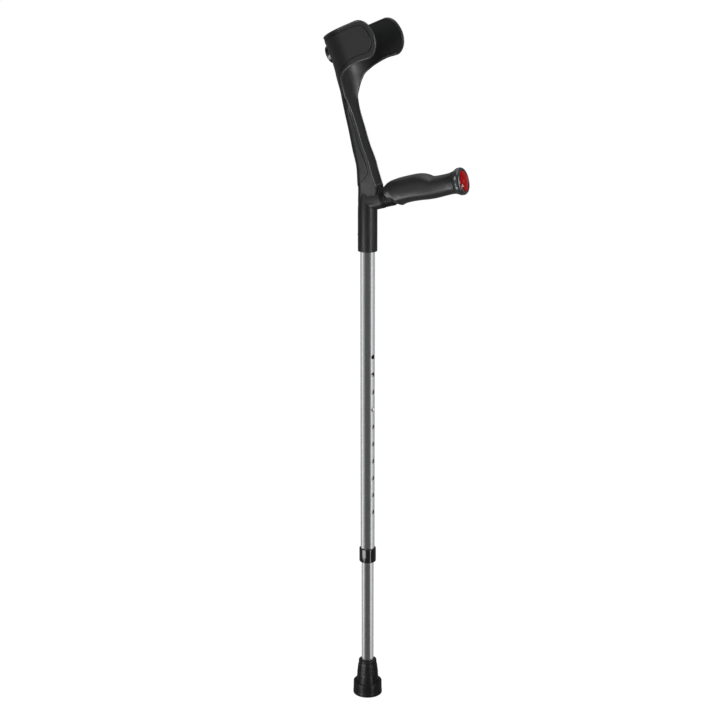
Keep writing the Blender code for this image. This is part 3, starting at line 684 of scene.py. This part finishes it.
def inset_edge(edge, margin):
    """The outline moved inwards by a margin, which may differ from row to row."""
    tangent = unit(np.gradient(edge[:, :2], axis=0))
    inward = np.stack([-tangent[:, 1], tangent[:, 0]], axis=1)
    margin = np.broadcast_to(margin, len(edge))
    moved = edge.copy()
    moved[:, :2] += inward * margin[:, None]
    moved[:, 2] -= margin * smooth_step(edge[:, 2], HEEL, CUFF_TOP)
    return moved


def spread(edge, columns, sag=0.0):
    """Fills an outline with a grid of (girth, station), mirrored about the back line. The middle of
    a grid line is lowered by sag at the lower end, which makes that end a V, and by less above."""
    across = np.linspace(-1.0, 1.0, columns)
    sag_fades_in = 0.090
    fade = np.clip(1.0 - (edge[:, 2:] - edge[0, 2]) / sag_fades_in, 0.0, 1.0) ** 2
    centre = edge[:, 2:] - sag * fade
    return edge[:, :1] * across, centre + (edge[:, 1:2] - centre) * across**2


def front_face(edge, columns):
    """The face towards the forearm, and its directions out of the moulding: across the arm it is
    the chord between the two edges, and in the cuff it runs a wall's thickness inside the skin."""
    girth, station = spread(edge, columns)
    rim = RIM_ARM + (RIM_CUFF - RIM_ARM) * smooth_step(edge[:, 1], 0.130, WRAP_TO)
    normal = skin_normal(girth, station)
    inner = skin(girth, station) - normal * rim[:, None, None]
    across = np.linspace(0.0, 1.0, columns)[None, :, None]
    chord = inner[:, :1] * (1.0 - across) + inner[:, -1:] * across
    wrap = smooth_step(station, WRAP_FROM, WRAP_TO)[..., None]
    lean_sin, lean_cos = section_axes(station)
    forward = np.stack([lean_cos, np.zeros_like(lean_cos), lean_sin], axis=-1)
    return chord + (inner - chord) * wrap, unit(forward * (1.0 - wrap) - normal * wrap)


def slab(name, outer, inner, bulge, steps=6):
    """A closed solid between two grids of the same size. Its edge is half an ellipse: at angle a it
    lies at mid + half thickness x cos a, pushed out across the edge's run by bulge x sin a."""
    rows, columns = outer.shape[:2]
    count = rows * columns
    index = np.arange(count).reshape(rows, columns)
    loop = np.concatenate([index[0, :-1], index[:-1, -1], index[-1, :0:-1], index[:0:-1, 0]])
    top, bottom = outer.reshape(-1, 3)[loop], inner.reshape(-1, 3)[loop]
    along = np.roll(top, -1, axis=0) - np.roll(top, 1, axis=0)
    away = unit(np.cross(along, top - bottom))
    centre = outer.reshape(-1, 3).mean(axis=0)
    if np.einsum("ij,ij->i", away, top - centre).mean() < 0:
        away = -away
    angle = np.linspace(0.0, math.pi, steps + 1)[1:-1, None, None]
    edge = (top + bottom) / 2 + (top - bottom) / 2 * np.cos(angle) + away * bulge * np.sin(angle)
    points = np.concatenate([outer.reshape(-1, 3), inner.reshape(-1, 3), edge.reshape(-1, 3)])
    layers = [loop]
    layers += [2 * count + step * len(loop) + np.arange(len(loop)) for step in range(steps - 1)]
    layers.append(loop + count)
    sides = []
    for here, there in zip(layers[:-1], layers[1:]):
        sides.append(np.stack([here, np.roll(here, -1), np.roll(there, -1), there], axis=-1))
    sheet = grid_faces(rows, columns)
    return finish_mesh(name, points, np.concatenate([sheet, sheet[:, ::-1] + count, *sides]))


GRIP_RISE, GRIP_HEIGHT = math.radians(14.5), 0.7958
GRIP_PLACE = frame_at(
    (0.0, 0.0, GRIP_HEIGHT), (math.cos(GRIP_RISE), 0.0, math.sin(GRIP_RISE)), (0.0, 0.0, 1.0)
)
NECK_PLACE = GRIP_PLACE @ Matrix.Diagonal((1.15, 1.0, 1.0, 1.0))  # the stub is taller than wide
STUB_R, STUB_END = 0.0134, 0.0260
CORE_R, GRIP_END = 0.0070, 0.1465
CORE_FIT_R = CORE_R + 0.0003  # the bore of what is fitted over the core

RIM_ROUND = 0.0015
FINER = 5
BODY_COLUMNS = 97
outline = inset_edge(refined(moulding_edge(SECTIONS[0, 0], 17), FINER), RIM_ROUND)
girth, station = spread(outline, BODY_COLUMNS)
front, _ = front_face(outline, BODY_COLUMNS)
frame_body = slab("frame_body", skin(girth, station), front, RIM_ROUND)

COVER_SAG = 0.022
COVER_COLUMNS, LINING_COLUMNS = 81, 73
COVER_FOOT, LINING_FOOT = 0.038, 0.024
cover_outline = refined(moulding_edge(COVER_FOOT, 12), FINER)
cover_margin = np.where(cover_outline[:, 1] < 0.160, 0.0046, 0.0055)
lining_outline = refined(moulding_edge(LINING_FOOT, 13), FINER)
LINING_MARGIN = 0.0022
RIM_ABOVE = 0.0008  # how far the rim stands above the arm's lining
LINING_SPLIT = 4 * FINER  # the row where the arm's insert meets the cuff's liner


def cover_surface(margin):
    """The skin inside the outline less the cover's margin and a further one, and its normals."""
    edge = inset_edge(cover_outline, cover_margin + margin)
    girth, station = spread(edge, COVER_COLUMNS, COVER_SAG)
    return skin(girth, station), skin_normal(girth, station)


def lining_surface(margin):
    """The face towards the forearm, inside the outline less a margin, and its directions. On the
    arm it is raised by the margin, less the height that the rim stands above it."""
    edge = inset_edge(lining_outline, margin)
    _, station = spread(edge, LINING_COLUMNS)
    points, outward = front_face(edge, LINING_COLUMNS)
    rise = (margin - RIM_ABOVE) * (1.0 - smooth_step(station, WRAP_FROM, WRAP_TO))
    return points + outward * rise[..., None], outward


def reflector_place():
    """Straight out of the back of the cuff, at the reflector's station."""
    here, above = skin(np.zeros(2), np.array([0.2140, 0.2180]))
    climb = Vector(above - here)
    return frame_at(Vector(here), climb.cross(Vector((0.0, 1.0, 0.0))), climb)


REFLECTOR_PLACE = reflector_place()

BORE_TOP = 0.7973
sleeve_profile = np.concatenate([
    rounded([(0.0, 0.8130, 0.0), (0.0118, 0.8130, 0.0030), (0.0136, 0.8000, 0.0060),
             (SLEEVE_R, 0.7840, 0.0060), (SLEEVE_R, 0.7600, 0.0)]),
    rounded([(SLEEVE_R, 0.7590, 0.0), (SLEEVE_R, SLEEVE_LOW, 0.0014),
             (TUBE_FIT_R, SLEEVE_LOW, 0.0004), (TUBE_FIT_R, BORE_TOP, 0.0), (0.0, BORE_TOP, 0.0)]),
])
stub_profile = rounded([
    (0.0, STUB_END, 0.0), (STUB_R, STUB_END, 0.0010), (STUB_R, 0.0, 0.0), (0.0, -0.0020, 0.0),
])
core_profile = rounded([
    (0.0, GRIP_END, 0.0), (CORE_R, GRIP_END, 0.0006), (CORE_R, 0.0, 0.0), (0.0, 0.0, 0.0),
])
cut_or_join(frame_body, [
    turned("sleeve", sleeve_profile, 96),
    turned("stub", stub_profile, 96, NECK_PLACE),
    turned("core", core_profile, 48, GRIP_PLACE),
], "UNION")

# Pockets for the two inlays, a little deeper than they are thick, then the bore and a rivet hole.
CUT_ABOVE, POCKET_GAP = 0.003, 0.0001
points, normal = cover_surface(0.0)
pocket_floor = points - normal * (COVER_T + POCKET_GAP)
cover_pocket = slab("cover_pocket", points + normal * CUT_ABOVE, pocket_floor, 0.0, 1)
points, outward = lining_surface(LINING_MARGIN)
pocket_floor = points - outward * (LINER_T + POCKET_GAP)
lining_pocket = slab("lining_pocket", pocket_floor, points + outward * CUT_ABOVE, 0.0, 1)
bore_profile = [(0.0, BORE_TOP), (TUBE_FIT_R, BORE_TOP), (TUBE_FIT_R, 0.7100), (0.0, 0.7100)]
rivet_hole = [(0.0, 0.0200), (0.0018, 0.0200), (0.0018, 0.0080), (0.0, 0.0080)]
cut_or_join(frame_body, [
    cover_pocket, lining_pocket, turned("bore", bore_profile, 96),
    turned("rivet_hole", rivet_hole, 24, radial_place(0.7450, math.pi)),
])

satin_black = grained(
    "satin_black_plastic", (0.013, 0.0135, 0.014), 0.37, 0.04, 0.10, 1500.0, 60.0, 0.000005, IOR=1.5
)
dress(frame_body, satin_black, "upper", "frame_plastic", "frame_moulding")
finish_node("sleeve_rivet", plated)

# ---- Rim bead ----------------------------------------------------------------------------------
# A smoother bead of the same black plastic, moulded with the frame, finishes its edge. Its colour
# is painted lighter than the frame's, a painted highlight along the edge. It runs up one side of
# the arm, round both flaps, down the other side and across the arm's foot.

BEAD_R, BEAD_DEEP, BEAD_IN = 0.0014, 0.0012, 0.0010
BEAD_FOOT = 0.0185
BEAD_SIDES = 16


def bead_path():
    """The closed path of the bead's centre, and at each point the direction that leaves the skin.
    It follows the outline and its mirror, a little inside and under the skin, and is straight
    across the foot. Over the cuff's top its station changes with the square of the girth."""
    edge = inset_edge(refined(moulding_edge(BEAD_FOOT, 13), FINER), BEAD_IN)
    girth, station, middle = edge[:, 0], edge[:, 1], edge[-1, 2]
    top_girth = np.linspace(girth[-1], 0.0, 26)[1:-1]
    top_station = middle + (station[-1] - middle) * (top_girth / girth[-1]) ** 2
    one_side = np.stack([np.append(girth, top_girth), np.append(station, top_station)], axis=1)
    other_side = one_side[::-1] * np.array([-1.0, 1.0])
    loop = np.concatenate([one_side, [[0.0, middle]], other_side])
    lift = skin_normal(loop[:, 0], loop[:, 1])
    path = skin(loop[:, 0], loop[:, 1]) - lift * BEAD_DEEP
    foot = np.linspace(path[-1], path[0], 14)[1:-1]
    foot_lift = np.broadcast_to(unit(np.cross([0.0, 1.0, 0.0], path[1] - path[0])), foot.shape)
    return np.concatenate([path, foot]), np.concatenate([lift, foot_lift])


def bead(name, path, lift):
    """A round bead on a closed path. Point a of a ring lies at the path plus radius x (cos a x side
    + sin a x lift), where side and lift stand square to the path and to each other."""
    along = unit(np.roll(path, -1, axis=0) - np.roll(path, 1, axis=0))
    side = unit(np.cross(along, lift))
    lift = np.cross(side, along)
    angle = np.linspace(0.0, 2.0 * math.pi, BEAD_SIDES, endpoint=False)[:, None]
    rings = np.cos(angle) * side[:, None] + np.sin(angle) * lift[:, None]
    rings = path[:, None] + BEAD_R * rings
    return finish_mesh(name, rings, grid_faces(len(path), BEAD_SIDES, True, True), 60.0)


rim_bead = bead("rim_bead", *bead_path())
# The bead is glossier than the frame for real, but its lighter colour is a painted highlight along
# the rim.
black_bead_painted_highlight = grained(
    "black_edge_painted_highlight", (0.040, 0.041, 0.042), 0.22, 0.03, 0.10, 1500.0, 60.0, 0.000002, IOR=1.55
)
dress(rim_bead, black_bead_painted_highlight, "upper", "frame_plastic", "frame_moulding")

# ---- Arm insert and cuff liner -----------------------------------------------------------------
# Two pieces of duller plastic lie in the face towards the forearm, sunk a little below the rim:
# a long insert down the arm, and above it a liner that spreads over both flaps.

LINER_SUNK, LINER_GAP = 0.0005, 0.0003
liner_black = grained(
    "dull_black_liner", (0.013, 0.0135, 0.014), 0.40, 0.05, 0.12, 1300.0, 70.0, 0.000006, IOR=1.45
)
points, outward = lining_surface(LINING_MARGIN + LINER_GAP)
for name, rows, node in (
    ("insert_of_the_arm", slice(0, LINING_SPLIT + 1), "arm_insert"),
    ("liner_of_the_cuff", slice(LINING_SPLIT, None), "cuff_liner"),
):
    behind_it, face = (points - outward * LINER_T)[rows], (points - outward * LINER_SUNK)[rows]
    dress(slab(name, behind_it, face, 0.0002, 3), liner_black, "upper", "lining", node)

# ---- Outer cover -------------------------------------------------------------------------------
# One thin inlay of black plastic lies in a pocket in the moulding and stands a little proud of it.
# It covers both flaps and the back of the arm, and its lower end is a V above the sleeve.

COVER_PROUD, COVER_GAP = 0.0007, 0.0011
REFLECTOR_R = 0.0135
cover_black = grained(
    "black_inlay", (0.013, 0.0135, 0.014), 0.38, 0.04, 0.10, 1300.0, 60.0, 0.000006, IOR=1.5
)
points, normal = cover_surface(COVER_GAP)
cover = slab("inlay_cover", points + normal * COVER_PROUD, points - normal * COVER_T, 0.0004)
boss_fit_r = REFLECTOR_R + 0.0003
boss_hole = [(0.0, 0.008), (boss_fit_r, 0.008), (boss_fit_r, -0.008), (0.0, -0.008)]
cut_or_join(cover, [turned("boss_hole", boss_hole, 96, REFLECTOR_PLACE)])
dress(cover, cover_black, "upper", "cover_inlay", "outer_cover")

# ---- Rear reflector ----------------------------------------------------------------------------
# A round black housing sits on the back of the cuff, through the cover. A red lens moulded with
# facets is pressed into it.

HOUSING_TOP = 0.0060
LENS_SEAT, LENS_GAP = 0.0030, 0.0002
REAR_LENS_R = 0.0108
rear_lens_edge = HOUSING_TOP - 0.0004
housing_profile = rounded([
    (0.0, LENS_SEAT, 0.0), (REAR_LENS_R + LENS_GAP, LENS_SEAT, 0.0002),
    (REAR_LENS_R + LENS_GAP, rear_lens_edge, 0.0), (REAR_LENS_R + 0.0006, HOUSING_TOP, 0.0003),
    (REFLECTOR_R, HOUSING_TOP, 0.0022), (REFLECTOR_R, -0.0060, 0.0), (0.0, -0.0060, 0.0),
])
housing = turned("reflector_boss", housing_profile, 96, REFLECTOR_PLACE)
points, normal = cover_surface(0.0)
cut_or_join(housing, [slab("saddle", points - normal * COVER_T, points - normal * 0.012, 0.0, 1)])
dress(housing, gloss_black, "upper", "frame_plastic", "reflector_housing")

red_lens = grained(
    "clear_red_lens", (0.24, 0.0, 0.0), 0.10, 0.03, 0.10, 700.0, 150.0, 0.000002,
    IOR=1.45, Specular_IOR_Level=0.30,
)


def faceted_lens(name, radius, seat, edge, rise, place, rings):
    """A lens whose face is a dome of flat facets. Ring k of n lies at radius x k/n, at a height of
    edge + rise x (1 - (k/n)^2), and every other ring is raised and turned by half a facet."""
    sides, ring_raise = 12, 0.00035
    share = np.linspace(0.0, 1.0, rings + 1)
    height = edge + rise * (1.0 - share**2) + ring_raise * (np.arange(rings + 1) % 2)
    height[-1] = edge
    radii = np.concatenate([share * radius, [radius, 0.0]])
    height = np.concatenate([height, [seat, seat]])
    half_turn = np.concatenate([np.arange(rings + 1) % 2, [rings % 2, rings % 2]])
    angle = (np.arange(sides) + 0.5 * half_turn[:, None]) * 2.0 * math.pi / sides
    x, y = radii[:, None] * np.cos(angle), radii[:, None] * np.sin(angle)
    points = np.stack([x, y, np.broadcast_to(height[:, None], x.shape)], axis=-1)
    quads = grid_faces(len(radii), sides, False, True)
    halves = np.concatenate([quads[:, [0, 1, 2]], quads[:, [0, 2, 3]]])
    lens = finish_mesh(name, points, halves, 2.0)
    lens.data.transform(place)
    return lens


rear_seat = LENS_SEAT + LENS_GAP
rear_lens = faceted_lens(
    "red_lens_rear", REAR_LENS_R, rear_seat, rear_lens_edge, 0.0010, REFLECTOR_PLACE, 3
)
dress(rear_lens, red_lens, "upper", "red_lens", "rear_reflector_lens")

# ---- Grip root ring ----------------------------------------------------------------------------
# A ribbed ring of black rubber fills the gap between the stub and the grip. It is moulded in one
# piece and goes on the core before the grip does.

ring_start, ring_end = STUB_END + 0.0003, 0.0520
ring_body, ring_rib, ring_bore = 0.0118, 0.0129, CORE_FIT_R
ring_profile = [(ring_bore, 0.0400, 0.0), (ring_bore, ring_end, 0.0), (ring_body, ring_end, 0.0004)]
for low in (0.0415, 0.0375, 0.0335, 0.0295):
    ring_profile += [(ring_body, low + 0.0022, 0.0003), (ring_rib, low + 0.0017, 0.0006),
                     (ring_rib, low + 0.0002, 0.0006), (ring_body, low - 0.0003, 0.0003)]
ring_profile += [(ring_body, 0.0285, 0.0003), (ring_rib, 0.0280, 0.0005),
                 (ring_rib, ring_start, 0.0004), (ring_bore, ring_start, 0.0),
                 (ring_bore, 0.0400, 0.0)]
root_ring = turned("ribbed_root_ring", rounded(ring_profile, 4)[:-1], 72, NECK_PLACE, ring=True)
dress(root_ring, rubber, "upper", "grip_rubber", "grip_root_ring")

# ---- Hand grip ---------------------------------------------------------------------------------
# One piece of satin black soft plastic on the moulding's core. Its top swells under the palm and
# steps down behind the thumb, and its root is cut at a slant, with a broad bevel.

# Along the grip: station, radius above, radius below, half width.
GRIP_SECTIONS = np.array((
    (0.0385, 0.0134, 0.0134, 0.0133),
    (0.0392, 0.0138, 0.0137, 0.0136),
    (0.0424, 0.0160, 0.0150, 0.0149),
    (0.0452, 0.0180, 0.0162, 0.0163),
    (0.0468, 0.0192, 0.0165, 0.0170),
    (0.0484, 0.0202, 0.0162, 0.0174),
    (0.0530, 0.0221, 0.0153, 0.0178),
    (0.0630, 0.0238, 0.0146, 0.0182),
    (0.0760, 0.0242, 0.0144, 0.0180),
    (0.0890, 0.0240, 0.0152, 0.0176),
    (0.0990, 0.0224, 0.0161, 0.0170),
    (0.1070, 0.0192, 0.0165, 0.0164),
    (0.1130, 0.0158, 0.0165, 0.0160),
    (0.1250, 0.0150, 0.0160, 0.0156),
    (0.1360, 0.0152, 0.0156, 0.0155),
    (0.1420, 0.0160, 0.0160, 0.0162),
    (0.1462, 0.0172, 0.0172, 0.0172),
))
GRIP_SLANT = 0.0100
GRIP_SIDES = 120
grip_turn = np.linspace(0.0, 2.0 * math.pi, GRIP_SIDES, endpoint=False)
grip_up, grip_across = np.cos(grip_turn), np.sin(grip_turn)
grip_rows = refined(GRIP_SECTIONS, 6)
grip_at, grip_above, grip_below, grip_half = (grip_rows[:, i, None] for i in range(4))
# A ring's radius goes from the one above to the one below as the angle turns, by a smooth step.
# Near the root each ring leans back by the slant times the cosine of the angle.
over = smooth_step(grip_up, -0.12, 0.12)
grip_height = grip_above * over + grip_below * (1.0 - over)
slant = GRIP_SLANT * (1.0 - smooth_step(grip_at, 0.040, 0.075))
shell = np.stack([
    grip_up * grip_height, np.broadcast_to(grip_across * grip_half, grip_height.shape),
    grip_at - slant * grip_up,
], axis=-1)
ends = np.zeros((2, GRIP_SIDES, 3))
ends[0, :, 2], ends[1, :, 2] = GRIP_SECTIONS[0, 0], GRIP_SECTIONS[-1, 0]
grip_points = np.concatenate([ends[:1], shell, ends[1:]])
grip_faces = grid_faces(len(grip_points), GRIP_SIDES, False, True)
hand_grip = finish_mesh("palm_grip", grip_points, grip_faces)
hand_grip.data.transform(GRIP_PLACE)
grip_rubber = grained(
    "satin_black_grip", (0.017, 0.017, 0.018), 0.36, 0.05, 0.12, 1400.0, 80.0, 0.000006, IOR=1.5
)
root_r, root_top = 0.0131, 0.0523
core_hole = [(0.0, 0.170), (CORE_FIT_R, 0.170), (CORE_FIT_R, 0.0), (0.0, 0.0)]
root_hole = [(0.0, root_top), (root_r, root_top), (root_r, 0.0), (0.0, 0.0)]
cut_or_join(hand_grip, [
    turned("core_hole", core_hole, 48, GRIP_PLACE), turned("root_hole", root_hole, 72, NECK_PLACE),
])
dress(hand_grip, grip_rubber, "upper", "grip_rubber", "hand_grip")
grip_pieces.objects.link(hand_grip)

# ---- Grip end ----------------------------------------------------------------------------------
# A glossy flanged cap closes the grip. A screw and washer hold it to the core, and a red lens
# moulded with facets is pressed in over them.

FLANGE_R = 0.0200
CAP_LOW, CAP_HIGH = GRIP_END + 0.0003, 0.1585
SCREW_HOLE_R, WELL_R = 0.0018, 0.0060
WELL_LOW, END_SEAT = 0.1502, 0.1552
END_LENS_R = 0.0152
end_lens_edge = CAP_HIGH - 0.0006
cap_profile = rounded([
    (SCREW_HOLE_R, 0.1490, 0.0), (SCREW_HOLE_R, WELL_LOW, 0.0), (WELL_R, WELL_LOW, 0.0002),
    (WELL_R, END_SEAT, 0.0002), (END_LENS_R + LENS_GAP, END_SEAT, 0.0002),
    (END_LENS_R + LENS_GAP, end_lens_edge, 0.0002), (END_LENS_R + 0.0008, CAP_HIGH, 0.0005),
    (FLANGE_R - 0.0020, CAP_HIGH, 0.0020), (FLANGE_R, 0.1562, 0.0030), (FLANGE_R, 0.1515, 0.0026),
    (FLANGE_R - 0.0012, 0.1490, 0.0016), (0.0174, CAP_LOW, 0.0006), (SCREW_HOLE_R, CAP_LOW, 0.0),
    (SCREW_HOLE_R, 0.1490, 0.0),
], 6)[:-1]
end_cap = turned("grip_cap", cap_profile, 128, GRIP_PLACE, ring=True)
cap_black = grained(
    "glossy_black_cap", (0.022, 0.024, 0.027), 0.25, 0.03, 0.08, 900.0, 110.0, 0.000004,
    IOR=1.50, Coat_Weight=0.40, Coat_Roughness=0.15,
)
dress(end_cap, cap_black, "upper", "gloss_plastic", "grip_end_cap")
finish_node("grip_washer", plated)
finish_node("grip_screw", plated)
end_lens = faceted_lens(
    "red_lens_grip", END_LENS_R, END_SEAT + 0.0003, end_lens_edge, 0.0028, GRIP_PLACE, 4
)
dress(end_lens, red_lens, "upper", "red_lens", "grip_reflector_lens")
for piece in (end_cap, end_lens):
    lens_pieces.objects.link(piece)
